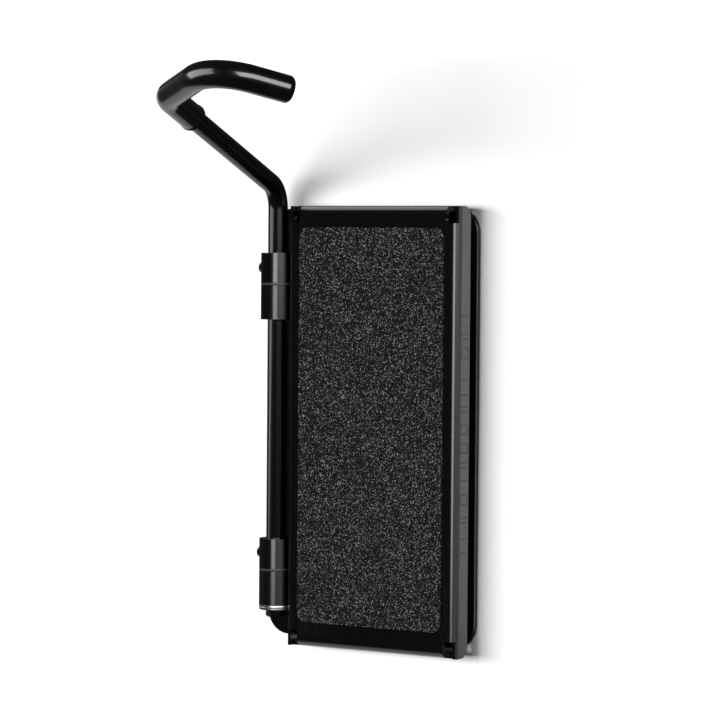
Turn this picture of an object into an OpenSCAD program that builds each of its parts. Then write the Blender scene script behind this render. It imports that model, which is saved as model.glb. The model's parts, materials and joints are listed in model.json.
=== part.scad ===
// Swinging wall rack that holds a bicycle upright by its front wheel.
// A wall plate carries two bushed hinge lugs. A folded front panel with a grit pad
// turns on them, and the long leg of the bent hook rod is the hinge pin.
// Frame: origin on the wall face, in the plane of the wheel, at the wall plate's mid height.
// +X right along the wall, +Y into the wall, +Z up. The front of the rack faces -Y.

/* [Wall plate] */
// Height of the wall plate
plate_h = 174; // [160:1:180]
// Right edge of the wall plate, from the wheel's plane
plate_right = 41.25; // [41:0.25:44]
// Left edge of the wall plate, from the wheel's plane
plate_left = 56; // [55:0.5:62]
// Thickness of the wall plate
plate_t = 2; // [1.5:0.25:2.5]
// Radius of the wall plate's corners
plate_corner_r = 9.5; // [4:0.5:10]
// Height between the two stud screw holes
stud_hole_gap = 130; // [120:1:135]
// Radius of the stud screw holes
stud_hole_r = 4.25; // [3.5:0.25:4.5]
// Width between the masonry screw holes
side_hole_gap_x = 50; // [44:1:54]
// Height between the masonry screw holes
side_hole_gap_z = 100; // [90:1:104]
// Radius of the masonry screw holes
side_hole_r = 3.25; // [2.5:0.25:3.5]

/* [Front panel] */
// Width of the folded front panel
panel_w = 79.5; // [79:0.5:80]
// Height of the folded front panel
panel_h = 177.8; // [174:0.1:180]
// How far the panel's top edge stands above the wall plate's top edge
panel_rise = 1; // [1:0.1:4]
// Depth of the panel's flanges from its front face
panel_d = 9.5; // [9:0.25:10]
// Thickness of the panel's sheet
panel_t = 2; // [1.5:0.25:2]
// Outside radius of the panel's bends
bend_r = 3.2; // [3:0.1:3.5]
// Radius on the free corners of the flanges
flange_corner_r = 4.5; // [4:0.5:6]
// Distance from the wall to the panel's front face
panel_face = 14.5; // [14.5:0.5:16]
// Width of the relief notch at each front corner
notch_w = 5; // [4:0.1:5.2]
// Depth of the relief notch from the panel's edge
notch_d = 6.8; // [6:0.1:7.5]

/* [Grip pad] */
// Width of the grit pad
pad_w = 67; // [60:0.5:68]
// Height of the grit pad
pad_h = 159; // [150:0.5:160]
// Thickness of the grit sheet
pad_t = 0.8; // [0.6:0.1:1.2]
// Thickness of the adhesive under it
adhesive_t = 0.2; // [0.1:0.05:0.3]
// Radius of the pad's corners
pad_corner_r = 4; // [2:0.5:6]
// How far the pad's top edge lies below the panel's top edge
pad_drop = 8.6; // [6:0.1:10]

/* [Hook] */
// Radius of the steel rod
rod_r = 4; // [3.9:0.1:4]
// Outside radius of the rubber sleeve
sleeve_r = 5.25; // [5:0.05:5.5]
// Hinge axis: distance left of the wheel's plane
pin_left = 47; // [46.9:0.1:48]
// Hinge axis: distance from the wall
pin_out = 10.5; // [10.25:0.25:11]
// Upward tilt of the hook's plane
hook_tilt = 19; // [17:0.5:21]
// Height where the hinge leg meets the hook's plane
hook_z = 94.7; // [93:0.1:97]
// First corner: distance left of the wheel's plane
corner1_left = 34.5; // [33:0.5:36]
// First corner: distance out along the hook's plane
corner1_out = 101; // [98:0.5:104]
// Second corner: distance right of the wheel's plane
corner2_right = 2.2; // [0:0.1:4]
// Second corner: distance out along the hook's plane
corner2_out = 127.8; // [124:0.1:130]
// Tip: distance right of the wheel's plane
tip_right = 23.4; // [22:0.1:26]
// Tip: distance out along the hook's plane
tip_out = 104; // [102:0.1:108]
// Bend radius at the top of the hinge leg
bend0_r = 11; // [10:0.5:12]
// Bend radius at the first corner
bend1_r = 10; // [9:0.5:12]
// Bend radius at the second corner
bend2_r = 18; // [14:0.5:20]
// How far the sleeve runs back past the first corner
sleeve_back = 22; // [18:0.5:26]

/* [Hinge] */
// Outside radius of the hinge lugs
lug_r = 6.75; // [6.5:0.05:6.75]
// Height of a wall lug
wall_lug_h = 14; // [12:0.5:15]
// Height of a panel lug
panel_lug_h = 12; // [10:0.5:13]
// Foot of the upper wall lug
upper_lug_z = 42; // [38:0.5:44]
// Foot of the lower wall lug
lower_lug_z = -74; // [-76:0.5:-70]
// Wall of the nylon bushes
bush_wall = 1; // [0.8:0.05:1.2]
// Running clearance of the rod in the bushes, on the radius
running_gap = 0.05; // [0.02:0.01:0.1]
// Thickness of a thrust washer
washer_t = 1; // [0.8:0.1:1.2]
// Thickness of the retaining clip
clip_t = 1; // [0.8:0.1:1.2]
// Outside radius of the retaining clip
clip_r = 6.6; // [6:0.1:6.75]
// Length of rod below the clip
rod_tail = 3; // [2:0.5:4]

/* [Small parts] */
// Radius of the rubber bumpers
bumper_r = 5; // [4:0.25:6]
// Bumpers: distance right of the wheel's plane
bumper_x = 31; // [28:0.5:32]
// Bumpers: height above and below the middle
bumper_z = 72; // [68:0.5:74]
// Radius of the grub screws
grub_r = 2; // [1.5:0.25:2]
// Length of the grub screws
grub_l = 4; // [3:0.5:5]

/* [Hidden] */
$fn = 96;

cut = 1;                                     // overshoot of every cutting solid
elbow_lap = 1;                               // degrees that a bend runs into its neighbours
elbow_step = 0.01;                           // how much thinner a bend is
pin_x = -pin_left;
pin_y = -pin_out;
face_y = -panel_face;
panel_top = plate_h / 2 + panel_rise;
panel_foot = panel_top - panel_h;
panel_x = panel_w / 2;
flange_y = face_y + panel_d;                 // free edge of the flanges
end_gap = 0.5;                               // gap between an end flange and a side flange
notch_wrap = 1.3;                            // how deep the notch bites into the side bend
notch_reach = 2.45;                          // how far it reaches past the side bend's start
notch_r = 2;                                 // its corner radius
pad_mid = panel_top - pad_drop - pad_h / 2;
adhesive_inset = 0.3;
bore_r = rod_r + running_gap;
bush_r = bore_r + bush_wall;
grip_gap = 0.02;                             // clearance of whatever grips the rod
clamp_r = rod_r + grip_gap;                  // bore of the lugs that are locked to the rod
upper_seat = upper_lug_z + wall_lug_h;       // where the thrust washers lie
lower_seat = lower_lug_z + wall_lug_h;
clip_top = lower_lug_z - washer_t;
clip_z = clip_top - clip_t;
rod_foot = clip_z - rod_tail;
groove_depth = 0.8;
groove_slack = 0.1;
clip_gap = 3;                                // half opening of the clip
rod_chamfer = 0.6;
sleeve_bore = rod_r + grip_gap;
sleeve_cap = 1.6;                            // rubber in front of the rod's end
tip_round = 2.6;                             // edge radius of the sleeve's closed end
collar_lip = 0.25;                           // how much the collar is thicker than the sleeve
collar_l = 2.2;
collar_lap = 0.6;                            // how far it runs over the sleeve's open end
collar_gap = 0.01;
bumper_gap = 0.3;                            // free play between a bumper and the panel
bumper_edge_r = 1;
key_r = 1.15;                                // hexagon socket of a grub screw
key_depth = 2;
upright = 0.9;                               // above this a direction counts as upright

// A point of the hook's plane: x across, s out from the hinge axis along the slope
function hook_point(x, s) = [x, pin_y - s * cos(hook_tilt), hook_z + s * sin(hook_tilt)];
function unit(v) = v / norm(v);
function turn(a, b, c) = acos(unit(b - a) * unit(c - b));
function tangent(a, b, c, r) = r * tan(turn(a, b, c) / 2);

leg_foot = [pin_x, pin_y, rod_foot];
corner0 = hook_point(pin_x, 0);
corner1 = hook_point(-corner1_left, corner1_out);
corner2 = hook_point(corner2_right, corner2_out);
tip = hook_point(tip_right, tip_out);
tip_dir = unit(tip - corner2);
rod_end = tip - sleeve_cap * tip_dir;
sleeve_dir = unit(corner1 - corner0);
sleeve_start = corner1 - sleeve_back * sleeve_dir;

// Places a child that is drawn along +Z at the origin so that it runs from a towards b
module along(a, b) {
    w = unit(b - a);
    side = abs(w.z) > upright ? [1, 0, 0] : [0, 0, 1];
    u = unit(cross(side, w));
    v = cross(w, u);
    multmatrix([
        [u.x, v.x, w.x, a.x],
        [u.y, v.y, w.y, a.y],
        [u.z, v.z, w.z, a.z],
        [0, 0, 0, 1]
    ]) children();
}

module straight(a, b, r) {
    along(a, b) cylinder(r = r, h = norm(b - a));
}

// The bent stretch at corner b of the path a, b, c. It runs a little way into the straight
// stretches on both sides and is a hair thinner, so that they join in clean circles.
module elbow(a, b, c, bend, r) {
    u = unit(b - a);
    v = unit(c - b);
    n = unit(v - (v * u) * u);
    start = b - tangent(a, b, c, bend) * u;
    o = start + bend * n;
    w = cross(-n, u);
    multmatrix([
        [-n.x, u.x, w.x, o.x],
        [-n.y, u.y, w.y, o.y],
        [-n.z, u.z, w.z, o.z],
        [0, 0, 0, 1]
    ]) rotate([0, 0, -elbow_lap]) rotate_extrude(angle = turn(a, b, c) + 2 * elbow_lap)
        translate([bend, 0]) circle(r = r - elbow_step);
}

// Round bar along points p with bend radii b at the inner points
module bent_bar(p, b, r) {
    last = len(p) - 1;
    ends = [for (i = [0:last])
        (i == 0 || i == last) ? 0 : tangent(p[i - 1], p[i], p[i + 1], b[i - 1])];
    for (i = [0:last - 1]) {
        w = unit(p[i + 1] - p[i]);
        straight(p[i] + ends[i] * w, p[i + 1] - ends[i + 1] * w, r);
    }
    for (i = [1:last - 1]) elbow(p[i - 1], p[i], p[i + 1], b[i - 1], r);
}

// Rectangle in X and Z with round corners, drawn from y0 to y1
module rounded_slab(x0, x1, z0, z1, y0, y1, r) {
    translate([0, y1, 0]) rotate([90, 0, 0]) linear_extrude(y1 - y0) {
        translate([x0 + r, z0]) square([x1 - x0 - 2 * r, z1 - z0]);
        translate([x0, z0 + r]) square([x1 - x0, z1 - z0 - 2 * r]);
        for (x = [x0 + r, x1 - r], z = [z0 + r, z1 - r]) translate([x, z]) circle(r = r);
    }
}

// Ring about the hinge axis
module pin_ring(outer, inner, z0, h) {
    translate([pin_x, pin_y, z0]) difference() {
        cylinder(r = outer, h = h);
        translate([0, 0, -cut]) cylinder(r = inner, h = h + 2 * cut);
    }
}

// --- wall side ---

module wall_plate() {
    color("#1d1d1f") difference() {
        rounded_slab(-plate_left, plate_right, -plate_h / 2, plate_h / 2,
            -plate_t, 0, plate_corner_r);
        for (z = [-1, 1]) translate([0, cut, z * stud_hole_gap / 2]) rotate([90, 0, 0])
            cylinder(r = stud_hole_r, h = plate_t + 2 * cut);
        for (x = [-1, 1], z = [-1, 1])
            translate([x * side_hole_gap_x / 2, cut, z * side_hole_gap_z / 2])
            rotate([90, 0, 0]) cylinder(r = side_hole_r, h = plate_t + 2 * cut);
    }
}

module wall_lug(z0) {
    color("#232325") difference() {
        union() {
            translate([pin_x, pin_y, z0]) cylinder(r = lug_r, h = wall_lug_h);
            translate([pin_x - lug_r, pin_y, z0])
                cube([2 * lug_r, pin_out - plate_t, wall_lug_h]);
        }
        translate([pin_x, pin_y, z0 - cut]) cylinder(r = bush_r, h = wall_lug_h + 2 * cut);
    }
}

module upper_wall_lug() {
    wall_lug(upper_lug_z);
}

module lower_wall_lug() {
    wall_lug(lower_lug_z);
}

module upper_bush() {
    color("#26262a") pin_ring(bush_r, bore_r, upper_lug_z, wall_lug_h);
}

module lower_bush() {
    color("#26262a") pin_ring(bush_r, bore_r, lower_lug_z, wall_lug_h);
}

module upper_thrust_washer() {
    color("#2b2b30") pin_ring(lug_r, bore_r, upper_seat, washer_t);
}

module lower_thrust_washer() {
    color("#2b2b30") pin_ring(lug_r, bore_r, lower_seat, washer_t);
}

// Rubber stop between the wall plate and the inside of the front panel
module bumper(z0) {
    stop = panel_face - panel_t - plate_t - bumper_gap;
    color("#101010") translate([bumper_x, -plate_t, z0]) rotate([90, 0, 0])
        rotate_extrude() {
            square([bumper_r, stop - bumper_edge_r]);
            square([bumper_r - bumper_edge_r, stop]);
            translate([bumper_r - bumper_edge_r, stop - bumper_edge_r]) circle(r = bumper_edge_r);
        }
}

module upper_bumper() {
    bumper(bumper_z);
}

module lower_bumper() {
    bumper(-bumper_z);
}

// --- swinging side ---

// Cross-section of one flange: a quarter bend and a flat leg, in the plane of the fold.
// The corner of the fold lies at the origin, the sheet's face along +X, the leg along +Y.
module fold_profile() {
    difference() {
        union() {
            translate([bend_r, bend_r]) intersection() {
                circle(r = bend_r);
                translate([-bend_r, -bend_r]) square(bend_r);
            }
            translate([0, bend_r]) square([panel_t, panel_d - bend_r]);
        }
        translate([bend_r, bend_r]) circle(r = bend_r - panel_t);
    }
}

// Side flange over the full height, with round free corners
module side_flange(side) {
    intersection() {
        translate([side * panel_x, face_y, panel_foot]) mirror([side > 0 ? 1 : 0, 0, 0])
            linear_extrude(panel_h) fold_profile();
        translate([0, flange_y, 0]) rotate([0, 90, 0]) rotate([0, 0, 90])
            translate([0, 0, -panel_w]) linear_extrude(2 * panel_w) {
                translate([-2 * panel_d, panel_foot]) square([2 * panel_d - flange_corner_r, panel_h]);
                translate([-2 * panel_d, panel_foot + flange_corner_r])
                    square([2 * panel_d, panel_h - 2 * flange_corner_r]);
                for (z = [panel_foot + flange_corner_r, panel_top - flange_corner_r])
                    translate([-flange_corner_r, z]) circle(r = flange_corner_r);
            }
    }
}

// Top or bottom flange, which ends short of the side flanges
module end_flange(up) {
    reach = panel_x - panel_t - end_gap;
    translate([0, face_y, up ? panel_top : panel_foot]) mirror([0, 0, up ? 1 : 0])
        translate([-reach, 0, 0]) rotate([90, 0, 90]) linear_extrude(2 * reach)
        mirror([1, 0]) rotate(90) fold_profile();
}

module corner_notch(side, up) {
    x0 = panel_x - bend_r - notch_w + notch_reach;
    z0 = (up ? panel_top - notch_d : panel_foot - 2 * notch_d);
    z1 = (up ? panel_top + 2 * notch_d : panel_foot + notch_d);
    mirror([side < 0 ? 1 : 0, 0, 0]) {
        rounded_slab(x0, panel_x + cut + notch_r, z0, z1, face_y - cut, face_y + notch_wrap, notch_r);
        rounded_slab(x0, panel_x - panel_t, z0, z1, face_y - cut, face_y + bend_r, notch_r);
    }
}

module front_panel() {
    color("#161617") difference() {
        union() {
            translate([bend_r - panel_x, face_y, panel_foot + bend_r])
                cube([panel_w - 2 * bend_r, panel_t, panel_h - 2 * bend_r]);
            for (side = [-1, 1]) side_flange(side);
            for (up = [false, true]) end_flange(up);
        }
        for (side = [-1, 1], up = [false, true]) corner_notch(side, up);
    }
}

module panel_lug(z0) {
    grub_z = z0 + panel_lug_h / 2;
    color("#232325") difference() {
        union() {
            translate([pin_x, pin_y, z0]) cylinder(r = lug_r, h = panel_lug_h);
            translate([pin_x, face_y + bend_r, z0])
                cube([pin_left - panel_x, panel_d - bend_r, panel_lug_h]);
        }
        translate([pin_x, pin_y, z0 - cut]) cylinder(r = clamp_r, h = panel_lug_h + 2 * cut);
        translate([pin_x, pin_y, grub_z]) rotate([0, -90, 0]) cylinder(r = grub_r, h = 2 * lug_r);
    }
}

module upper_panel_lug() {
    panel_lug(upper_seat + washer_t);
}

module lower_panel_lug() {
    panel_lug(lower_seat + washer_t);
}

// Socket screw that locks a panel lug to the rod
module grub_screw(z0) {
    color("#3a3b3d") translate([pin_x - clamp_r, pin_y, z0 + panel_lug_h / 2]) rotate([0, -90, 0])
        difference() {
            cylinder(r = grub_r, h = grub_l);
            translate([0, 0, grub_l - key_depth]) cylinder(r = key_r, h = key_depth + cut, $fn = 6);
        }
}

module upper_grub_screw() {
    grub_screw(upper_seat + washer_t);
}

module lower_grub_screw() {
    grub_screw(lower_seat + washer_t);
}

module hook_rod() {
    color("#121212") difference() {
        union() {
            bent_bar([leg_foot + [0, 0, rod_chamfer], corner0, corner1, corner2, rod_end],
                [bend0_r, bend1_r, bend2_r], rod_r);
            translate(leg_foot) cylinder(r1 = rod_r - rod_chamfer, r2 = rod_r, h = rod_chamfer);
        }
        translate([pin_x, pin_y, clip_z - groove_slack / 2]) difference() {
            cylinder(r = rod_r + cut, h = clip_t + groove_slack);
            translate([0, 0, -cut]) cylinder(r = rod_r - groove_depth, h = clip_t + 2 * cut);
        }
    }
}

// Rubber sleeve: an open tube that closes in a round-edged cap over the rod's end
module hook_sleeve() {
    cap_start = tip - tip_round * tip_dir;
    color("#1a1a1c") difference() {
        union() {
            bent_bar([sleeve_start, corner1, corner2, cap_start], [bend1_r, bend2_r], sleeve_r);
            along(cap_start, tip) rotate_extrude() {
                translate([0, -tip_round]) square([sleeve_r - tip_round, 2 * tip_round]);
                translate([sleeve_r - tip_round - elbow_step, 0]) circle(r = tip_round);
            }
        }
        bent_bar([sleeve_start - cut * sleeve_dir, corner1, corner2, rod_end + grip_gap * tip_dir],
            [bend1_r, bend2_r], sleeve_bore);
    }
}

// Beaded lip pushed over the sleeve's open end
module sleeve_collar() {
    color("#1a1a1c") along(sleeve_start, corner1) difference() {
        translate([0, 0, -collar_lap]) cylinder(r = sleeve_r + collar_lip, h = collar_l);
        translate([0, 0, -cut]) cylinder(r = sleeve_bore, h = cut);
        cylinder(r = sleeve_r + collar_gap, h = collar_l);
    }
}

module pad_adhesive() {
    color("#3b3b3b") rounded_slab(adhesive_inset - pad_w / 2, pad_w / 2 - adhesive_inset,
        pad_mid - pad_h / 2 + adhesive_inset, pad_mid + pad_h / 2 - adhesive_inset,
        face_y - adhesive_t, face_y, pad_corner_r - adhesive_inset);
}

module grip_pad() {
    color("#2c2c2e") rounded_slab(-pad_w / 2, pad_w / 2, pad_mid - pad_h / 2,
        pad_mid + pad_h / 2, face_y - adhesive_t - pad_t, face_y - adhesive_t, pad_corner_r);
}

module retaining_washer() {
    color("#8b8d90") pin_ring(lug_r, bore_r, clip_top, washer_t);
}

// Snap ring in the groove at the rod's foot, open towards the left
module retaining_clip() {
    color("#55575a") translate([pin_x, pin_y, clip_z]) difference() {
        cylinder(r = clip_r, h = clip_t);
        translate([0, 0, -cut]) cylinder(r = rod_r - groove_depth + grip_gap, h = clip_t + 2 * cut);
        translate([-2 * clip_r, -clip_gap, -cut]) cube([2 * clip_r, 2 * clip_gap, clip_t + 2 * cut]);
    }
}

wall_plate();
upper_wall_lug();
lower_wall_lug();
upper_bush();
lower_bush();
upper_thrust_washer();
lower_thrust_washer();
upper_bumper();
lower_bumper();
front_panel();
upper_panel_lug();
lower_panel_lug();
upper_grub_screw();
lower_grub_screw();
hook_rod();
hook_sleeve();
sleeve_collar();
pad_adhesive();
grip_pad();
retaining_washer();
retaining_clip();
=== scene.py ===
import json
import math
import random

import bmesh
import bpy
from mathutils import Matrix, Vector, noise


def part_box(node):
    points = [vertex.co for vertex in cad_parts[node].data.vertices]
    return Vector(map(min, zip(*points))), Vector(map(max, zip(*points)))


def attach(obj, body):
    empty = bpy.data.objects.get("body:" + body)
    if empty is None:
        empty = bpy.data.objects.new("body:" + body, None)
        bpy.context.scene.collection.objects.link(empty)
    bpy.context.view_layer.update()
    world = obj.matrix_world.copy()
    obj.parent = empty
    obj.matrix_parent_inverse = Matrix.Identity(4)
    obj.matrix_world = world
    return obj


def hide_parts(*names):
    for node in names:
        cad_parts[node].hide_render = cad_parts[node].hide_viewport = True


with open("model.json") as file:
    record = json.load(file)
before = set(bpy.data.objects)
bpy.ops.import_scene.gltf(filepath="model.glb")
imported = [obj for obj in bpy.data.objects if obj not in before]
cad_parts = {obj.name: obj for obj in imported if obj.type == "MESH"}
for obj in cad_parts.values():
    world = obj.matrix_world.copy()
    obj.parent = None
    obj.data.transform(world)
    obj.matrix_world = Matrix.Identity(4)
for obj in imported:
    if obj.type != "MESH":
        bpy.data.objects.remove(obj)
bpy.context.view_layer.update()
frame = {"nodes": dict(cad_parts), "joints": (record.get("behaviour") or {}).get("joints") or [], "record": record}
scene = bpy.context.scene
mm = 0.001

# every mesh piece made here, for the lights that shine on some of them only
shapedPieces = []


def newPiece(name, mesh, body, *replaced, slot=None):
    piece = bpy.data.objects.new(name, mesh)
    shapedPieces.append(piece)
    scene.collection.objects.link(piece)
    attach(piece, body)
    if replaced:
        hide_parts(*replaced)
    return piece


def shadeSmooth(mesh, sharpAbove):
    for face in mesh.polygons:
        face.use_smooth = True
    mesh.set_sharp_from_angle(angle=math.radians(sharpAbove))


def finishBmesh(bm, name, smoothAngle):
    bmesh.ops.recalc_face_normals(bm, faces=bm.faces)
    mesh = bpy.data.meshes.new(name)
    bm.to_mesh(mesh)
    bm.free()
    shadeSmooth(mesh, smoothAngle)
    return mesh


def applyModifiers(piece):
    # the evaluated mesh takes the place of the mesh and its modifiers
    graph = bpy.context.evaluated_depsgraph_get()
    done = bpy.data.meshes.new_from_object(piece.evaluated_get(graph))
    piece.modifiers.clear()
    old = piece.data
    piece.data = done
    bpy.data.meshes.remove(old)


def setMaterial(piece, material):
    piece.data.materials.clear()
    piece.data.materials.append(material)


def nodeBody(node):
    return next(b for b, nodes in frame["record"]["behaviour"]["bodies"].items() if node in nodes)


def nodeSlot(node):
    return next(s["material_slot"] for s in frame["record"]["subparts"] if s["node"] == node)


class Graph:
    # adds and links nodes

    def __init__(self, tree):
        self.tree = tree
        self.x = 0

    def add(self, kind, **settings):
        node = self.tree.nodes.new(kind)
        node.location = (self.x, 0)
        self.x += 180
        for key, value in settings.items():
            setattr(node, key, value)
        return node

    def link(self, source, target):
        self.tree.links.new(source, target)

    def math(self, operation, a, b=None, clamp=False):
        node = self.add("ShaderNodeMath", operation=operation, use_clamp=clamp)
        for socket, value in zip(node.inputs, (a, b)):
            if value is None:
                continue
            if isinstance(value, (int, float)):
                socket.default_value = value
            else:
                self.link(value, socket)
        return node.outputs[0]

    def remap(self, value, low, high, outLow=0.0, outHigh=1.0):
        node = self.add("ShaderNodeMapRange")
        self.link(value, node.inputs["Value"])
        node.inputs["From Min"].default_value = low
        node.inputs["From Max"].default_value = high
        node.inputs["To Min"].default_value = outLow
        node.inputs["To Max"].default_value = outHigh
        return node.outputs["Result"]

    def mixColor(self, factor, a, b):
        node = self.add("ShaderNodeMix", data_type="RGBA")
        self.link(factor, node.inputs["Factor"])
        colors = [s for s in node.inputs if s.type == "RGBA"]
        for socket, value in zip(colors, (a, b)):
            if isinstance(value, tuple):
                socket.default_value = (*value, 1.0)
            else:
                self.link(value, socket)
        return next(s for s in node.outputs if s.type == "RGBA")


def makeGroup(name, inputs, outputs):
    tree = bpy.data.node_groups.new(name, "ShaderNodeTree")
    for label, default in inputs.items():
        socket = tree.interface.new_socket(label, in_out="INPUT", socket_type="NodeSocketFloat")
        socket.default_value = default
    for label in outputs:
        tree.interface.new_socket(label, in_out="OUTPUT", socket_type="NodeSocketFloat")
    graph = Graph(tree)
    entry = graph.add("NodeGroupInput")
    leave = graph.add("NodeGroupOutput")
    return tree, graph, entry.outputs, leave.inputs


def objectNoise(graph, scale, detail=4.0, roughness=0.55):
    place = graph.add("ShaderNodeTexCoord")
    texture = graph.add("ShaderNodeTexNoise")
    texture.inputs["Detail"].default_value = detail
    texture.inputs["Roughness"].default_value = roughness
    graph.link(place.outputs["Object"], texture.inputs["Vector"])
    if isinstance(scale, (int, float)):
        texture.inputs["Scale"].default_value = scale
    else:
        graph.link(scale, texture.inputs["Scale"])
    return texture.outputs["Fac"]


peelLook = {"finer": 6.0}


def coatPeelGroup(look):
    # orange peel of a baked powder coat: broad waves with a fine grain on them
    tree, g, enter, leave = makeGroup("coatPeel", {"Scale": 900.0, "Grain": 0.3}, ["Height"])
    waves = objectNoise(g, enter["Scale"], 2.0, 0.4)
    fine = objectNoise(g, g.math("MULTIPLY", enter["Scale"], look["finer"]), 2.0, 0.6)
    g.link(g.math("ADD", waves, g.math("MULTIPLY", fine, enter["Grain"])), leave["Height"])
    return tree


handlingLook = {"smudge": (0.42, 0.72), "speck": (0.69, 0.76), "hair": (0.70, 0.78), "hairScale": 1500.0,
                "hairStretch": 0.04, "hairTilt": (0.05, 0.12, 0.0)}


def handlingGroup(look):
    # faint smudges and settled dust, with hair scratches along the piece
    tree, g, enter, leave = makeGroup(
        "handling", {"Smudge Scale": 40.0, "Dust Scale": 1400.0, "Amount": 0.5},
        ["Smudge", "Dust", "Scratch"])
    smudge = g.remap(objectNoise(g, enter["Smudge Scale"], 5.0, 0.65), *look["smudge"])
    g.link(g.math("MULTIPLY", smudge, enter["Amount"]), leave["Smudge"])
    speck = g.remap(objectNoise(g, enter["Dust Scale"], 1.0, 0.5), *look["speck"])
    g.link(g.math("MULTIPLY", speck, enter["Amount"]), leave["Dust"])
    place = g.add("ShaderNodeTexCoord")
    stretch = g.add("ShaderNodeMapping")
    stretch.inputs["Scale"].default_value = (1.0, 1.0, look["hairStretch"])
    stretch.inputs["Rotation"].default_value = look["hairTilt"]
    lines = g.add("ShaderNodeTexNoise")
    lines.inputs["Scale"].default_value = look["hairScale"]
    lines.inputs["Detail"].default_value = 1.0
    g.link(place.outputs["Object"], stretch.inputs["Vector"])
    g.link(stretch.outputs["Vector"], lines.inputs["Vector"])
    hair = g.remap(lines.outputs["Fac"], *look["hair"])
    g.link(g.math("MULTIPLY", g.math("MULTIPLY", hair, smudge), enter["Amount"]), leave["Scratch"])
    return tree


edgeWearAndHighlightLook = {"sharpness": 12.0, "ragScale": 500.0, "rag": (0.35, 0.7)}


def edgeWearAndHighlightGroup(look):
    # 1 on raised edges, broken up by noise; the coat uses it for a painted highlight, bare steel for rubbed wear
    tree, g, enter, leave = makeGroup("edgeWearAndHighlight", {"Start": 0.62, "Amount": 0.6}, ["Mask"])
    shape = g.add("ShaderNodeNewGeometry")
    raised = g.math("SUBTRACT", shape.outputs["Pointiness"], enter["Start"])
    edge = g.math("MULTIPLY", raised, look["sharpness"], clamp=True)
    rag = g.remap(objectNoise(g, look["ragScale"], 4.0, 0.6), *look["rag"])
    g.link(g.math("MULTIPLY", g.math("MULTIPLY", edge, rag), enter["Amount"]), leave["Mask"])
    return tree


groups = {"coatPeel": coatPeelGroup(peelLook), "handling": handlingGroup(handlingLook),
          "edgeWearAndHighlight": edgeWearAndHighlightGroup(edgeWearAndHighlightLook)}


def placeGroup(graph, name, **values):
    node = graph.add("ShaderNodeGroup", node_tree=groups[name])
    for label, value in values.items():
        node.inputs[label.replace("_", " ")].default_value = value
    return node.outputs


def newMaterial(name, **constants):
    material = bpy.data.materials.new(name)
    material.use_nodes = True
    tree = material.node_tree
    tree.nodes.clear()
    graph = Graph(tree)
    shader = graph.add("ShaderNodeBsdfPrincipled")
    output = graph.add("ShaderNodeOutputMaterial")
    graph.link(shader.outputs["BSDF"], output.inputs["Surface"])
    for label, value in constants.items():
        shader.inputs[label.replace("_", " ")].default_value = value
    return material, graph, shader


def bumpInto(graph, shader, height, strength, distance):
    bump = graph.add("ShaderNodeBump")
    bump.inputs["Strength"].default_value = strength
    bump.inputs["Distance"].default_value = distance
    graph.link(height, bump.inputs["Height"])
    graph.link(bump.outputs["Normal"], shader.inputs["Normal"])


def coatedSteel(name, look):
    # powder coat with orange peel, smudges and dust specks; its raised edges get a lighter base colour, a painted
    # highlight
    material, g, shader = newMaterial(name, Metallic=0.0, Coat_IOR=1.5, IOR=1.5,
                                      Specular_IOR_Level=look["baseGloss"],
                                      Coat_Roughness=look["coatRoughness"])
    peel = placeGroup(g, "coatPeel", Scale=look["peelScale"], Grain=look["grain"])
    marks = placeGroup(g, "handling", Amount=look["marks"], Smudge_Scale=look["smudgeScale"])
    wear = placeGroup(g, "edgeWearAndHighlight", Amount=look["edge"])
    tint = g.mixColor(marks["Dust"], look["color"], look["dustColor"])
    # painted highlight: the coat's raised edges are mixed toward a lighter colour
    tint = g.mixColor(wear["Mask"], tint, look["edgeHighlightColor"])
    g.link(tint, shader.inputs["Base Color"])
    rough = g.math("ADD", g.math("MULTIPLY", marks["Smudge"], look["smudgeRoughness"]), look["roughness"])
    rough = g.math("ADD", rough, g.math("MULTIPLY", marks["Scratch"], look["scratchRoughness"]), clamp=True)
    g.link(rough, shader.inputs["Roughness"])
    weight = g.remap(marks["Smudge"], 0.0, 1.0, look["coat"], look["coat"] * look["smudgedCoat"])
    g.link(weight, shader.inputs["Coat Weight"])
    bumpInto(g, shader, peel["Height"], look["peelStrength"], look["peelDepth"])
    return material


glossCoatLook = {
    "color": (0.0011, 0.0011, 0.0012), "roughness": 0.32, "baseGloss": 0.05,
    "coat": 1.0, "coatRoughness": 0.19,
    "peelScale": 520.0, "grain": 0.12, "peelStrength": 0.08, "peelDepth": 0.4 * mm,
    "marks": 0.3, "smudgeScale": 28.0, "smudgeRoughness": 0.10, "scratchRoughness": 0.25,
    # the coat's lighter edge colour is a painted highlight on raised edges
    "smudgedCoat": 0.8, "dustColor": (0.02, 0.02, 0.02), "edge": 0.3, "edgeHighlightColor": (0.04, 0.04, 0.042),
}
plateCoatLook = dict(glossCoatLook, color=(0.0016, 0.0016, 0.0017), roughness=0.4, coat=0.8,
                     coatRoughness=0.2, peelStrength=0.2, grain=0.3, marks=0.5)
rodCoatLook = dict(glossCoatLook, color=(0.0018, 0.0018, 0.0019), roughness=0.34, coat=0.8,
                   coatRoughness=0.16, peelScale=700.0, peelStrength=0.15, marks=0.4)

glossCoat = coatedSteel("glossBlackCoat", glossCoatLook)
plateCoat = coatedSteel("satinBlackCoat", plateCoatLook)
rodCoat = coatedSteel("rodBlackCoat", rodCoatLook)


def roughnessWith(graph, shader, smudge, amount, base):
    graph.link(graph.math("ADD", graph.math("MULTIPLY", smudge, amount), base), shader.inputs["Roughness"])


sleeveRubberLook = {
    "color": (0.002, 0.002, 0.0022), "bloom": (0.005, 0.005, 0.0053), "roughness": 0.26, "gloss": 0.2,
    "coatRoughness": 0.15, "marks": 0.5, "smudgeScale": 60.0, "dustScale": 1900.0, "smudgeRoughness": 0.12,
    "dustyCoat": 0.7, "waveScale": 260.0, "grain": 0.05, "waveStrength": 0.08, "waveDepth": 0.5 * mm,
}


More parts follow.
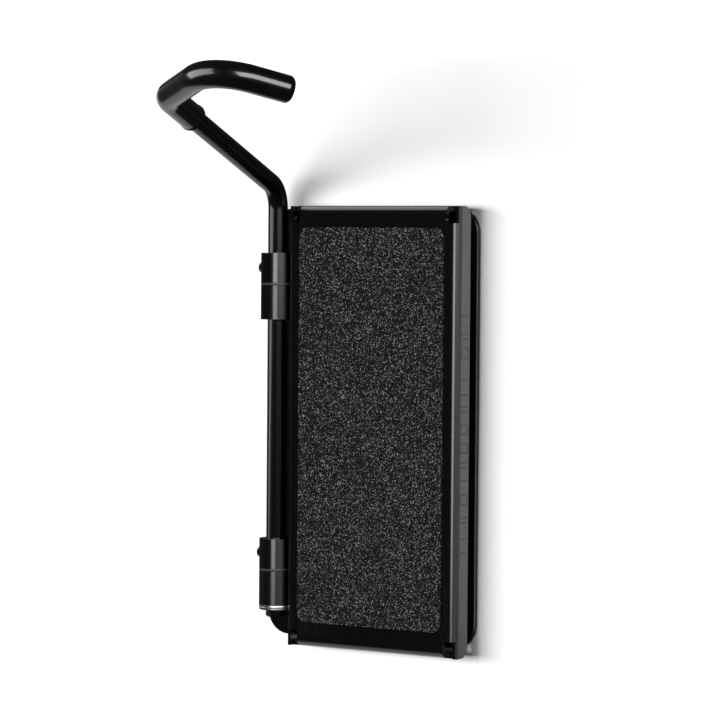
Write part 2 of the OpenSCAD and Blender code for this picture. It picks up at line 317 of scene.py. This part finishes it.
def sleeveRubberMaterial(look):
    # smooth rubber with a light bloom and specks of dust
    material, g, shader = newMaterial("sleeveRubber", IOR=1.5, Specular_IOR_Level=look["gloss"],
                                      Coat_Roughness=look["coatRoughness"], Coat_IOR=1.5)
    marks = placeGroup(g, "handling", Amount=look["marks"], Smudge_Scale=look["smudgeScale"],
                       Dust_Scale=look["dustScale"])
    peel = placeGroup(g, "coatPeel", Scale=look["waveScale"], Grain=look["grain"])
    g.link(g.mixColor(marks["Smudge"], look["color"], look["bloom"]), shader.inputs["Base Color"])
    roughnessWith(g, shader, marks["Smudge"], look["smudgeRoughness"], look["roughness"])
    g.link(g.remap(marks["Dust"], 0.0, 1.0, 1.0, look["dustyCoat"]), shader.inputs["Coat Weight"])
    bumpInto(g, shader, peel["Height"], look["waveStrength"], look["waveDepth"])
    return material


gritSheetLook = {
    "grainScale": 2900.0, "dark": (0.0006, 0.0006, 0.0007), "light": (0.007, 0.007, 0.0074),
    # the bright grain colour is a painted glint on a few grains
    "spark": (0.32, 0.32, 0.325), "shades": (0.2, 1.0), "paintedGlints": (0.84, 0.98), "gloss": 0.1,
    "roughness": (0.28, 0.8), "tilt": 0.8, "bumpStrength": 0.9, "bumpDepth": 0.35 * mm,
}


def gritMaterial(look):
    # each grain has its own shade; a few grains get a bright base colour, a painted glint
    material, g, shader = newMaterial("gritSheet", IOR=1.5, Specular_IOR_Level=look["gloss"])
    place = g.add("ShaderNodeTexCoord")
    cells = g.add("ShaderNodeTexVoronoi")
    cells.inputs["Scale"].default_value = look["grainScale"]
    g.link(place.outputs["Object"], cells.inputs["Vector"])
    split = g.add("ShaderNodeSeparateColor")
    g.link(cells.outputs["Color"], split.inputs["Color"])
    shade = g.mixColor(g.remap(split.outputs["Red"], *look["shades"]), look["dark"], look["light"])
    # painted glint: a few cells are mixed toward a bright colour
    spark = g.remap(split.outputs["Green"], *look["paintedGlints"])
    g.link(g.mixColor(spark, shade, look["spark"]), shader.inputs["Base Color"])
    g.link(g.remap(split.outputs["Blue"], 0.0, 1.0, *look["roughness"]), shader.inputs["Roughness"])
    height = g.math("ADD", g.math("MULTIPLY", cells.outputs["Distance"], -1.0),
                    g.math("MULTIPLY", split.outputs["Red"], look["tilt"]))
    bumpInto(g, shader, height, look["bumpStrength"], look["bumpDepth"])
    return material


nylonLook = {
    "color": (0.016, 0.016, 0.017), "smudged": (0.03, 0.03, 0.031), "roughness": 0.45, "grainScale": 1200.0,
    "marks": 0.6, "smudgeScale": 90.0, "smudgeRoughness": 0.15, "grain": 0.6, "grainStrength": 0.25,
    "grainDepth": 0.15 * mm,
}
bumperRubberLook = dict(nylonLook, color=(0.016, 0.016, 0.016), smudged=(0.04, 0.04, 0.04), roughness=0.62,
                        grainScale=1800.0)
adhesiveFilmLook = dict(nylonLook, color=(0.06, 0.06, 0.058), smudged=(0.10, 0.10, 0.095), roughness=0.5,
                        grainScale=900.0)


def moulded(name, look):
    # matt polymer with a fine grain and a few smudges
    material, g, shader = newMaterial(name, IOR=1.5)
    marks = placeGroup(g, "handling", Amount=look["marks"], Smudge_Scale=look["smudgeScale"])
    peel = placeGroup(g, "coatPeel", Scale=look["grainScale"], Grain=look["grain"])
    g.link(g.mixColor(marks["Smudge"], look["color"], look["smudged"]), shader.inputs["Base Color"])
    roughnessWith(g, shader, marks["Smudge"], look["smudgeRoughness"], look["roughness"])
    bumpInto(g, shader, peel["Height"], look["grainStrength"], look["grainDepth"])
    return material


zincPlateLook = {
    "color": (0.62, 0.63, 0.65), "smudged": (0.42, 0.43, 0.45), "rubbed": (0.7, 0.7, 0.7), "roughness": 0.26,
    "marks": 0.8, "smudgeScale": 150.0, "wear": 0.8, "smudgeRoughness": 0.2, "grainScale": 2500.0,
    "grain": 0.5, "grainStrength": 0.15, "grainDepth": 0.1 * mm,
}
springSteelLook = dict(zincPlateLook, color=(0.20, 0.20, 0.205), smudged=(0.09, 0.09, 0.09),
                       roughness=0.34)
blackOxideLook = dict(zincPlateLook, color=(0.05, 0.05, 0.052), smudged=(0.02, 0.02, 0.021),
                      roughness=0.32)


def bareSteel(name, look):
    # plated, oiled or phosphated steel, rubbed bright on its edges
    material, g, shader = newMaterial(name, Metallic=1.0)
    marks = placeGroup(g, "handling", Amount=look["marks"], Smudge_Scale=look["smudgeScale"])
    wear = placeGroup(g, "edgeWearAndHighlight", Amount=look["wear"])
    tint = g.mixColor(marks["Smudge"], look["color"], look["smudged"])
    g.link(g.mixColor(wear["Mask"], tint, look["rubbed"]), shader.inputs["Base Color"])
    roughnessWith(g, shader, marks["Smudge"], look["smudgeRoughness"], look["roughness"])
    peel = placeGroup(g, "coatPeel", Scale=look["grainScale"], Grain=look["grain"])
    bumpInto(g, shader, peel["Height"], look["grainStrength"], look["grainDepth"])
    return material


sleeveRubber = sleeveRubberMaterial(sleeveRubberLook)
gritSheet = gritMaterial(gritSheetLook)
nylon = moulded("blackNylon", nylonLook)
bumperRubber = moulded("bumperRubber", bumperRubberLook)
adhesiveFilm = moulded("adhesiveFilm", adhesiveFilmLook)
blackOxide = bareSteel("blackOxide", blackOxideLook)
springSteel = bareSteel("springSteel", springSteelLook)
zincPlate = bareSteel("zincPlate", zincPlateLook)
print("materials made")


# rounding of the cut edges in millimetres, and the finish
sheetLug = 0.4
smallEdge = 0.2
softenedLooks = {
    "wall_plate": (0.6, plateCoat), "front_panel": (0.35, glossCoat),
    "upper_wall_lug": (sheetLug, plateCoat), "lower_wall_lug": (sheetLug, plateCoat),
    "upper_panel_lug": (sheetLug, glossCoat), "lower_panel_lug": (sheetLug, glossCoat),
    "upper_bush": (0.15, nylon), "lower_bush": (0.15, nylon),
    "upper_thrust_washer": (smallEdge, nylon), "lower_thrust_washer": (smallEdge, nylon),
    "retaining_washer": (smallEdge, zincPlate), "retaining_clip": (smallEdge, springSteel),
    "upper_grub_screw": (smallEdge, blackOxide), "lower_grub_screw": (smallEdge, blackOxide),
}
# merge distance, then angles in degrees
softening = {"merge": 0.002 * mm, "flat": 0.6, "creased": 35, "bevelAbove": 38, "sharpAbove": 50,
             "segments": 3}


def softenedCopy(node, name, rounding, look):
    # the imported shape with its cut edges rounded, as a coated or tumbled part has them
    bm = bmesh.new()
    bm.from_mesh(frame["nodes"][node].data)
    bmesh.ops.remove_doubles(bm, verts=bm.verts, dist=look["merge"])
    bmesh.ops.dissolve_limit(bm, angle_limit=math.radians(look["flat"]), verts=bm.verts, edges=bm.edges)
    mesh = finishBmesh(bm, name, look["creased"])
    piece = newPiece(name, mesh, nodeBody(node), node, slot=nodeSlot(node))
    bevel = piece.modifiers.new("roundEdges", "BEVEL")
    bevel.width = rounding * mm
    bevel.segments = look["segments"]
    bevel.limit_method = "ANGLE"
    bevel.angle_limit = math.radians(look["bevelAbove"])
    bevel.use_clamp_overlap = True
    bevel.harden_normals = False
    applyModifiers(piece)
    shadeSmooth(piece.data, look["sharpAbove"])
    weighted = piece.modifiers.new("flatFaces", "WEIGHTED_NORMAL")
    weighted.keep_sharp = True
    weighted.weight = 100
    applyModifiers(piece)
    return piece


def camelName(node):
    words = node.split("_")
    return words[0] + "".join(w.capitalize() for w in words[1:])


for node, (rounding, finish) in softenedLooks.items():
    setMaterial(softenedCopy(node, camelName(node) + "Piece", rounding, softening), finish)
for node in ("upper_bumper", "lower_bumper"):
    setMaterial(frame["nodes"][node], bumperRubber)
setMaterial(frame["nodes"]["pad_adhesive"], adhesiveFilm)
print("sheet parts, lugs and hinge hardware made")


cameraLook = {"place": (0.63463, -1.05338, 0.07208), "azimuth": 31.62, "pitch": 2.13, "roll": 0.45,
              "lens": 153.4, "sensor": 36.0, "sight": 50}


def addCamera(look):
    data = bpy.data.cameras.new("viewCamera")
    data.lens = look["lens"]
    data.sensor_width = look["sensor"]
    data.clip_end = look["sight"]
    camera = bpy.data.objects.new("viewCamera", data)
    scene.collection.objects.link(camera)
    azimuth, pitch, roll = (math.radians(look[k]) for k in ("azimuth", "pitch", "roll"))
    back = Vector((math.sin(azimuth) * math.cos(pitch), -math.cos(azimuth) * math.cos(pitch),
                   math.sin(pitch)))
    right = Vector((math.cos(azimuth), math.sin(azimuth), 0))
    up = back.cross(right)
    rolledRight = right * math.cos(roll) + up * math.sin(roll)
    rolledUp = up * math.cos(roll) - right * math.sin(roll)
    turn = Matrix((rolledRight, rolledUp, back)).transposed()
    camera.matrix_world = Matrix.Translation(look["place"]) @ turn.to_4x4()
    scene.camera = camera


stageLook = {"wallGap": 0.3 * mm, "wallSize": 5.0, "floorDrop": 1.0, "wallColor": (0.86, 0.86, 0.86),
             "floorColor": (0.80, 0.80, 0.79), "roughness": 0.9}


def stageMaterial(name, color, seeThroughBack):
    material, g, shader = newMaterial(name, Roughness=stageLook["roughness"])
    shader.inputs["Base Color"].default_value = (*color, 1)
    if seeThroughBack:
        shape = g.add("ShaderNodeNewGeometry")
        clear = g.add("ShaderNodeBsdfTransparent")
        mix = g.add("ShaderNodeMixShader")
        output = next(n for n in g.tree.nodes if n.type == "OUTPUT_MATERIAL")
        g.link(shape.outputs["Backfacing"], mix.inputs["Fac"])
        g.link(shader.outputs["BSDF"], mix.inputs[1])
        g.link(clear.outputs["BSDF"], mix.inputs[2])
        g.link(mix.outputs["Shader"], output.inputs["Surface"])
    return material


def addPlane(name, corners, material):
    mesh = bpy.data.meshes.new(name)
    mesh.from_pydata(corners, [], [(0, 1, 2, 3)])
    plane = bpy.data.objects.new(name, mesh)
    scene.collection.objects.link(plane)
    mesh.materials.append(material)
    # gloss shows the studio's soft boxes only, and the planes don't block their light
    plane.visible_glossy = False
    plane.visible_shadow = False
    return plane


def addStage(look):
    half, drop, back = look["wallSize"] / 2, -look["floorDrop"], look["wallGap"]
    # the wall's one visible side faces -Y
    addPlane("wall", [(-half, back, drop), (half, back, drop), (half, back, half), (-half, back, half)],
             stageMaterial("wallPaint", look["wallColor"], True))
    square = [(-half, -half, drop), (half, -half, drop), (half, half, drop), (-half, half, drop)]
    floor = addPlane("floor", square, stageMaterial("floorPaint", look["floorColor"], False))
    # its bounce would light up the gap behind the panel
    floor.visible_diffuse = False


# directions: azimuth 0 is straight in front, positive to the right; elevation up
# the room lights have no highlight of their own; each highlight light shines on the named pieces only
lightKinds = {"hookRodBar": "hook", "hookSleeveSkin": "hook", "wallPlatePiece": "plate"}
lightLooks = [
    {"name": "keyLight", "azimuth": -30, "elevation": 4, "away": 2.4, "size": (2.2, 0.8), "power": 78.0},
    {"name": "fillLight", "azimuth": 0, "elevation": 6, "away": 2.6, "size": (1.2, 0.9), "power": 20.0},
    {"name": "rightBox", "azimuth": 50, "elevation": 21, "away": 1.6, "size": (1.4, 0.85), "power": 27.0,
     "shinesOn": ("hook", "panel", "plate")},
    {"name": "panelStrip", "azimuth": 15, "elevation": 8, "away": 2.0, "size": (1.0, 1.2), "power": 28.0,
     "shinesOn": ("panel",)},
    {"name": "panelCorner", "azimuth": 62, "elevation": 0, "away": 1.5, "size": (1.3, 1.2), "power": 4.6,
     "shinesOn": ("panel",)},
    {"name": "plateRim", "azimuth": 70, "elevation": 0, "away": 1.5, "size": (1.3, 1.6), "power": 30.0,
     "shinesOn": ("plate",)},
    {"name": "panelTop", "azimuth": -90, "elevation": 55, "away": 1.5, "size": (1.5, 0.6), "power": 6.6,
     "shinesOn": ("panel", "plate")},
    {"name": "panelFloor", "azimuth": -100, "elevation": -42, "away": 1.2, "size": (2.0, 1.2), "power": 8.0,
     "shinesOn": ("panel",)},
    {"name": "panelSide", "azimuth": 125, "elevation": 10, "away": 1.5, "size": (3.0, 1.2), "power": 12.6,
     "shinesOn": ("panel",)},
    {"name": "plateSide", "azimuth": 140, "elevation": 0, "away": 1.5, "size": (1.5, 1.2), "power": 1.6,
     "shinesOn": ("plate",)},
    {"name": "hookBox", "azimuth": -47, "elevation": 15, "away": 1.3, "size": (1.3, 0.8), "power": 12.5,
     "roll": 22, "shinesOn": ("hook",)},
    {"name": "hookSide", "azimuth": -135, "elevation": -20, "away": 1.5, "size": (1.7, 2.1), "power": 5.8,
     "shinesOn": ("hook",)},
]
worldLook = {"base": 0.03, "seen": 0.92}


def towards(azimuth, elevation):
    a, e = math.radians(azimuth), math.radians(elevation)
    return Vector((math.sin(a) * math.cos(e), -math.cos(a) * math.cos(e), math.sin(e)))


def addLight(look):
    data = bpy.data.lights.new(look["name"], "AREA")
    data.shape = "RECTANGLE"
    data.size, data.size_y = look["size"]
    data.energy = look["power"]
    light = bpy.data.objects.new(look["name"], data)
    scene.collection.objects.link(light)
    way = towards(look["azimuth"], look["elevation"])
    across = towards(look["azimuth"] + 90, 0)
    turn = Matrix((across, way.cross(across), way)).transposed().to_4x4()
    roll = Matrix.Rotation(math.radians(look.get("roll", 0)), 4, "Z")
    light.matrix_world = Matrix.Translation(way * look["away"]) @ turn @ roll
    light.visible_camera = False
    if "shinesOn" in look:
        light.visible_diffuse = False
        lit = bpy.data.collections.new(look["name"] + "Lit")
        for piece in shapedPieces:
            if lightKinds.get(piece.name, "panel") in look["shinesOn"]:
                lit.objects.link(piece)
        light.light_linking.receiver_collection = lit
    else:
        light.visible_glossy = False


def addWorld(look):
    # dim for the object and the walls; straight past the wall and floor the room looks pale
    world = bpy.data.worlds.new("studio")
    scene.world = world
    world.use_nodes = True
    graph = Graph(world.node_tree)
    path = graph.add("ShaderNodeLightPath")
    background = world.node_tree.nodes["Background"]
    background.inputs["Color"].default_value = (1, 1, 1, 1)
    graph.link(graph.remap(path.outputs["Is Camera Ray"], 0, 1, look["base"], look["seen"]),
               background.inputs["Strength"])


addCamera(cameraLook)
addStage(stageLook)
addWorld(worldLook)
scene.view_settings.view_transform = "Standard"
print("camera, stage and studio made")


hinge = frame["joints"][0]["pos_m"]
hookLook = {
    # corners as (sideways from the wheel's plane, out from the hinge) in the hook's tilted plane
    "tilt": 19.0, "rise": 94.7, "corner1": (-34.5, 101.0), "corner2": (2.2, 127.8), "tip": (23.4, 104.0),
    "bends": (11.0, 10.0, 18.0), "sides": 64, "step": 0.6,
    "rodRadius": 4.0, "footEdge": 0.6, "endRound": 0.5,
    "grooveDepth": 0.8, "grooveGap": 0.05, "grooveLedge": 0.01,
    "sleeveRadius": 5.25, "sleeveBack": 22.0, "sleeveCap": 1.6, "tipRound": 2.6, "boreGap": 0.02, "lip": 0.25,
    "thinnest": 0.995, "unevenness": 0.004, "unevenScale": 90,
}
almostNone = 0.0001 * mm


def hookPoint(across, out):
    tilt = math.radians(hookLook["tilt"])
    return Vector((across * mm, hinge[1] - out * mm * math.cos(tilt),
                   (hookLook["rise"] + out * math.sin(tilt)) * mm))


def roundedPath(corners, bends, step):
    # points and directions along straight runs joined by arcs
    stations = []
    ends = [0.0] * len(corners)
    for i in range(1, len(corners) - 1):
        a, b = (corners[i] - corners[i - 1]).normalized(), (corners[i + 1] - corners[i]).normalized()
        ends[i] = bends[i - 1] * math.tan(a.angle(b) / 2)
    for i in range(len(corners) - 1):
        way = (corners[i + 1] - corners[i]).normalized()
        start, stop = corners[i] + ends[i] * way, corners[i + 1] - ends[i + 1] * way
        count = max(1, round((stop - start).length / step))
        stations += [(start.lerp(stop, k / count), way) for k in range(count + 1)]
        if i + 2 < len(corners):
            nextWay = (corners[i + 2] - corners[i + 1]).normalized()
            inward = (nextWay - way * way.dot(nextWay)).normalized()
            centre, angle = stop + bends[i] * inward, way.angle(nextWay)
            count = max(2, round(bends[i] * angle / step))
            for k in range(1, count):
                t = angle * k / count
                stations.append((centre + bends[i] * (way * math.sin(t) - inward * math.cos(t)),
                                 way * math.cos(t) + inward * math.sin(t)))
    return stations


def sweep(stations, radii, sides):
    # a tube of rings with one radius each; a radius of 0 closes it in a point
    bm = bmesh.new()
    side = stations[0][1].orthogonal().normalized()
    rings = []
    for (point, way), radius in zip(stations, radii):
        side = (side - way * side.dot(way)).normalized()
        other = way.cross(side)
        if radius <= 0:
            rings.append([bm.verts.new(point)])
            continue
        rings.append([bm.verts.new(point + radius * (side * math.cos(a) + other * math.sin(a)))
                      for a in (2 * math.pi * k / sides for k in range(sides))])
    for low, high in zip(rings, rings[1:]):
        for k in range(sides):
            quad = [low[k % len(low)], low[(k + 1) % sides % len(low)],
                    high[(k + 1) % sides % len(high)], high[k % len(high)]]
            bm.faces.new(list(dict.fromkeys(quad)))
    return bm


def profileAt(stations, profile):
    # inserts stations so that a list of (distance, radius) is met exactly
    lengths = [0.0]
    for (a, _), (b, _) in zip(stations, stations[1:]):
        lengths.append(lengths[-1] + (b - a).length)
    total = lengths[-1]
    marks = sorted(set([d for d, _ in profile if 0 <= d <= total] + [d for d in lengths if
                   not any(abs(d - m) < 0.05 * mm for m, _ in profile)]))
    out, radii, k = [], [], 0
    for d in marks:
        while k < len(lengths) - 2 and lengths[k + 1] < d:
            k += 1
        span = lengths[k + 1] - lengths[k]
        t = 0 if span < 1e-12 else (d - lengths[k]) / span
        point = stations[k][0].lerp(stations[k + 1][0], t)
        way = stations[k][1].lerp(stations[k + 1][1], t).normalized()
        out.append((point, way))
        radii.append(radiusOn(profile, d))
    return out, radii


def radiusOn(profile, d):
    for (d0, r0), (d1, r1) in zip(profile, profile[1:]):
        if d0 <= d <= d1:
            return r0 if d1 - d0 < 1e-12 else r0 + (r1 - r0) * (d - d0) / (d1 - d0)
    return profile[-1][1]


def endRound(distance, radius, rounding, steps):
    # radii of a rounded end that closes at the given distance
    out = []
    for k in range(steps + 1):
        a = math.pi / 2 * k / steps
        out.append((distance - rounding * (1 - math.sin(a)), radius - rounding * (1 - math.cos(a))))
    return out


def pathLength(stations):
    return sum((b - a).length for (a, _), (b, _) in zip(stations, stations[1:]))


rodRadius, pathStep = hookLook["rodRadius"] * mm, hookLook["step"] * mm
bends = [b * mm for b in hookLook["bends"]]
foot = Vector((hinge[0], hinge[1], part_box("hook_rod")[0].z))
corner0, corner1 = hookPoint(hinge[0] / mm, 0), hookPoint(*hookLook["corner1"])
corner2, tip = hookPoint(*hookLook["corner2"]), hookPoint(*hookLook["tip"])


def makeRod(look):
    # from the chamfered foot past the clip's groove to the end inside the sleeve
    rodEnd = tip - (tip - corner2).normalized() * look["sleeveCap"] * mm
    stations = roundedPath([foot, corner0, corner1, corner2, rodEnd], bends, pathStep)
    clipLow, clipHigh = (corner.z - foot.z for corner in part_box("retaining_clip"))
    gap, groove = look["grooveGap"] * mm, rodRadius - look["grooveDepth"] * mm
    ledge, footEdge = look["grooveLedge"] * mm, look["footEdge"] * mm
    profile = [(0.0, 0.0), (almostNone, rodRadius - footEdge), (footEdge, rodRadius),
               (clipLow - gap - ledge, rodRadius), (clipLow - gap, groove),
               (clipHigh + gap, groove), (clipHigh + gap + ledge, rodRadius)]
    total = pathLength(stations)
    profile += endRound(total, rodRadius, look["endRound"] * mm, 4) + [(total + almostNone, 0.0)]
    stations, radii = profileAt(stations, profile)
    radii[0] = 0.0
    mesh = finishBmesh(sweep(stations, radii, look["sides"]), "hookRodBar", 40)
    rod = newPiece("hookRodBar", mesh, nodeBody("hook_rod"), "hook_rod", slot=nodeSlot("hook_rod"))
    setMaterial(rod, rodCoat)


def makeSleeve(look):
    start = corner1 - (corner1 - corner0).normalized() * look["sleeveBack"] * mm
    stations = roundedPath([start, corner1, corner2, tip], bends[1:], pathStep)
    total = pathLength(stations)
    outer, bore = look["sleeveRadius"] * mm, rodRadius + look["boreGap"] * mm
    lip = outer + look["lip"] * mm
    # the lip's rounded front edge, its flat, and the neck behind it
    profile = [(0.0, bore), (almostNone, lip - 0.5 * mm), (0.15 * mm, lip - 0.2 * mm), (0.5 * mm, lip),
               (1.1 * mm, lip), (1.6 * mm, outer + 0.1 * mm), (2.2 * mm, outer - 0.02 * mm),
               (3.5 * mm, outer)]
    profile += endRound(total, outer, look["tipRound"] * mm, 12) + [(total + almostNone, 0.0)]
    stations, radii = profileAt(stations, profile)
    radii = [r * uneven(point) if r > bore + 0.1 * mm else r for (point, way), r in zip(stations, radii)]
    mesh = finishBmesh(sweep(stations, radii, look["sides"]), "hookSleeveSkin", 60)
    sleeve = newPiece("hookSleeveSkin", mesh, nodeBody("hook_sleeve"), "hook_sleeve", "sleeve_collar",
                      slot=nodeSlot("hook_sleeve"))
    setMaterial(sleeve, sleeveRubber)


def uneven(point):
    # the sleeve's wall is nowhere thicker than its nominal radius
    return hookLook["thinnest"] + hookLook["unevenness"] * noise.noise(point * hookLook["unevenScale"])


makeRod(hookLook)
makeSleeve(hookLook)
print("hook made")


gritLook = {"spacing": 0.42, "relief": 0.26, "edgeDrop": 0.1, "corner": 4.0, "scatter": 0.3,
            "clumpScale": 1900, "roughness": 1.4}


def makeGrit(look):
    low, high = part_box("grip_pad")
    width, height = high.x - low.x, high.z - low.z
    columns, rows = round(width / (look["spacing"] * mm)), round(height / (look["spacing"] * mm))
    corner = look["corner"] * mm
    face = low.y
    random.seed(7)
    bm = bmesh.new()
    grid = []
    for r in range(rows + 1):
        line = []
        for c in range(columns + 1):
            x, z = low.x + width * c / columns, low.z + height * r / rows
            x, z = roundInto(x, z, low, high, corner)
            rim = c in (0, columns) or r in (0, rows)
            if not rim:
                x += random.uniform(-look["scatter"], look["scatter"]) * look["spacing"] * mm
                z += random.uniform(-look["scatter"], look["scatter"]) * look["spacing"] * mm
            clump = noise.noise(Vector((x, 0, z)) * look["clumpScale"]) * 0.5
            rough = (clump + random.uniform(-0.5, 0.5)) * look["roughness"]
            y = face + look["relief"] * mm * (0.5 - 0.5 * max(-1, min(1, rough)))
            line.append(bm.verts.new((x, face + look["edgeDrop"] * mm if rim else y, z)))
        grid.append(line)
    for a, b in zip(grid, grid[1:]):
        for k in range(columns):
            bm.faces.new((a[k], a[k + 1], b[k + 1], b[k]))
    rim = [line[0] for line in grid] + grid[-1][1:] + [line[-1] for line in reversed(grid)][1:] \
        + list(reversed(grid[0]))[1:-1]
    back = [bm.verts.new((v.co.x, high.y, v.co.z)) for v in rim]
    count = len(rim)
    for k in range(count):
        bm.faces.new((rim[k], back[k], back[(k + 1) % count], rim[(k + 1) % count]))
    bm.faces.new(back)
    mesh = finishBmesh(bm, "gritPad", 25)
    pad = newPiece("gritPad", mesh, nodeBody("grip_pad"), "grip_pad", slot=nodeSlot("grip_pad"))
    setMaterial(pad, gritSheet)


def roundInto(x, z, low, high, corner):
    # pulls a point of the rectangle's grid inside its round corner
    cx = min(max(x, low.x + corner), high.x - corner)
    cz = min(max(z, low.z + corner), high.z - corner)
    dx, dz = x - cx, z - cz
    if dx == 0 or dz == 0:
        return x, z
    reach = max(abs(dx), abs(dz))
    length = math.hypot(dx, dz)
    return cx + dx * reach / length, cz + dz * reach / length


makeGrit(gritLook)
print("grit pad made")


beadLook = {"radius": 1.15, "ripple": 0.09, "pitch": 0.95, "step": 0.16, "sides": 20, "endGap": 0.9,
            "unevenness": 0.08, "unevenScale": 400, "pastPin": 0.4, "beforeEdge": 0.5}


def addBead(bm, start, end, look):
    # rippled bead with round ends, half sunk in the corner that it fills
    way = (end - start).normalized()
    length, radius = (end - start).length, look["radius"] * mm
    count = max(8, round(length / (look["step"] * mm)))
    stations, radii = [], []
    for k in range(count + 1):
        d = length * k / count
        tip = min(1.0, min(d, length - d) / radius)
        ripple = 1 + look["ripple"] * math.sin(2 * math.pi * d / (look["pitch"] * mm)) \
            + look["unevenness"] * noise.noise((start + way * d) * look["unevenScale"])
        stations.append((start + way * d, way))
        radii.append(radius * ripple * math.sqrt(max(0.0, 1 - (1 - tip) ** 2)))
    radii[0] = radii[-1] = 0
    part = sweep(stations, radii, look["sides"])
    mesh = bpy.data.meshes.new("bead")
    part.to_mesh(mesh)
    part.free()
    bm.from_mesh(mesh)
    bpy.data.meshes.remove(mesh)


def makeWelds(look):
    gap = look["endGap"] * mm
    wall, swing = bmesh.new(), bmesh.new()
    for node in ("upper_wall_lug", "lower_wall_lug"):
        low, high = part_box(node)
        foot = high.y
        addBead(wall, Vector((low.x, foot, low.z + gap)), Vector((low.x, foot, high.z - gap)), look)
        for z in (low.z, high.z):
            addBead(wall, Vector((low.x + gap, foot, z)), Vector((high.x - gap, foot, z)), look)
    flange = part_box("front_panel")[0].x
    for node in ("upper_panel_lug", "lower_panel_lug"):
        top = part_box(node)[1].z
        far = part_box("front_panel")[1].y - look["beforeEdge"] * mm
        near = hinge[1] - look["pastPin"] * mm
        addBead(swing, Vector((flange, near, top)), Vector((flange, far, top)), look)
    for bm, name, node, material in ((wall, "wallLugWelds", "wall_plate", plateCoat),
                                     (swing, "panelLugWelds", "front_panel", glossCoat)):
        piece = newPiece(name, finishBmesh(bm, name, 60), nodeBody(node), slot=nodeSlot(node))
        setMaterial(piece, material)


makeWelds(beadLook)
print("welds made")


markLook = {"across": 2.45, "along": 1.95, "stroke": 0.23, "flat": 0.5, "inset": 3.75, "sides": 10,
            "step": 0.3, "taper": 0.55}
markRow = [
    ("dots", 49.3), ("bar", 45.0), ("dots", 40.6), ("pair", 36.9), ("box", 30.3), ("dots", 24.4),
    ("bar", 19.9), ("bar", 14.0), ("pair", 8.3), ("box", 0.6), ("box", -6.9), ("pair", -13.6),
    ("bar", -19.5), ("box", -27.2), ("pair", -35.2), ("dots", -38.9), ("bar", -42.6), ("bar", -48.2),
]


def markLines(kind, look):
    # lines as (across, along) with a flag for closed ones
    a, b = look["across"], look["along"]
    if kind == "box":
        return [([(-a, -b), (a, -b), (a, b), (-a, b)], True)]
    if kind == "pair":
        return [([(-a, -b * 0.5), (a, -b * 0.5)], False), ([(-a, b * 0.5), (a, b * 0.5)], False)]
    if kind == "bar":
        return [([(-a, 0), (a, 0)], False)]
    return [([(-a * 0.55, -0.1), (-a * 0.35, 0.1)], False), ([(a * 0.35, -0.1), (a * 0.55, 0.1)], False)]


def addStroke(bm, points, closed, look):
    # a low rounded ridge along the points, sunk half in the face
    radius = look["stroke"] * mm
    fine = []
    loop = points + points[:1] if closed else points
    for a, b in zip(loop, loop[1:]):
        count = max(1, round((b - a).length / (look["step"] * mm)))
        fine += [a.lerp(b, k / count) for k in range(count)]
    if not closed:
        fine.append(points[-1])
    rings = []
    last = len(fine) - 1
    for i, point in enumerate(fine):
        before = fine[i - 1] if closed or i else fine[0]
        after = fine[(i + 1) % len(fine)] if closed or i < last else fine[last]
        side = (after - before).normalized().cross(Vector((1, 0, 0)))
        size = radius * (look["taper"] if not closed and i in (0, last) else 1.0)
        rings.append([bm.verts.new(point + side * size * math.cos(t)
                                   + Vector((size * look["flat"] * math.sin(t), 0, 0)))
                      for t in (2 * math.pi * k / look["sides"] for k in range(look["sides"]))])
    pairs = list(zip(rings, rings[1:])) + ([(rings[-1], rings[0])] if closed else [])
    for low, high in pairs:
        for k in range(look["sides"]):
            j = (k + 1) % look["sides"]
            bm.faces.new((low[k], low[j], high[j], high[k]))
    if not closed:
        bm.faces.new(rings[0])
        bm.faces.new(list(reversed(rings[-1])))


def makeMarks(look):
    low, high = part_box("front_panel")
    middle = high.y - look["inset"] * mm
    bm = bmesh.new()
    for kind, z in markRow:
        for line, closed in markLines(kind, look):
            points = [Vector((high.x, middle - across * mm, (z + along) * mm)) for across, along in line]
            addStroke(bm, points, closed, look)
    marks = newPiece("flangeMarks", finishBmesh(bm, "flangeMarks", 60), nodeBody("front_panel"),
                     slot=nodeSlot("front_panel"))
    setMaterial(marks, glossCoat)


makeMarks(markLook)
print("marks made")


# last, because the highlight lights are linked to the finished pieces
for look in lightLooks:
    addLight(look)
print("lights made")
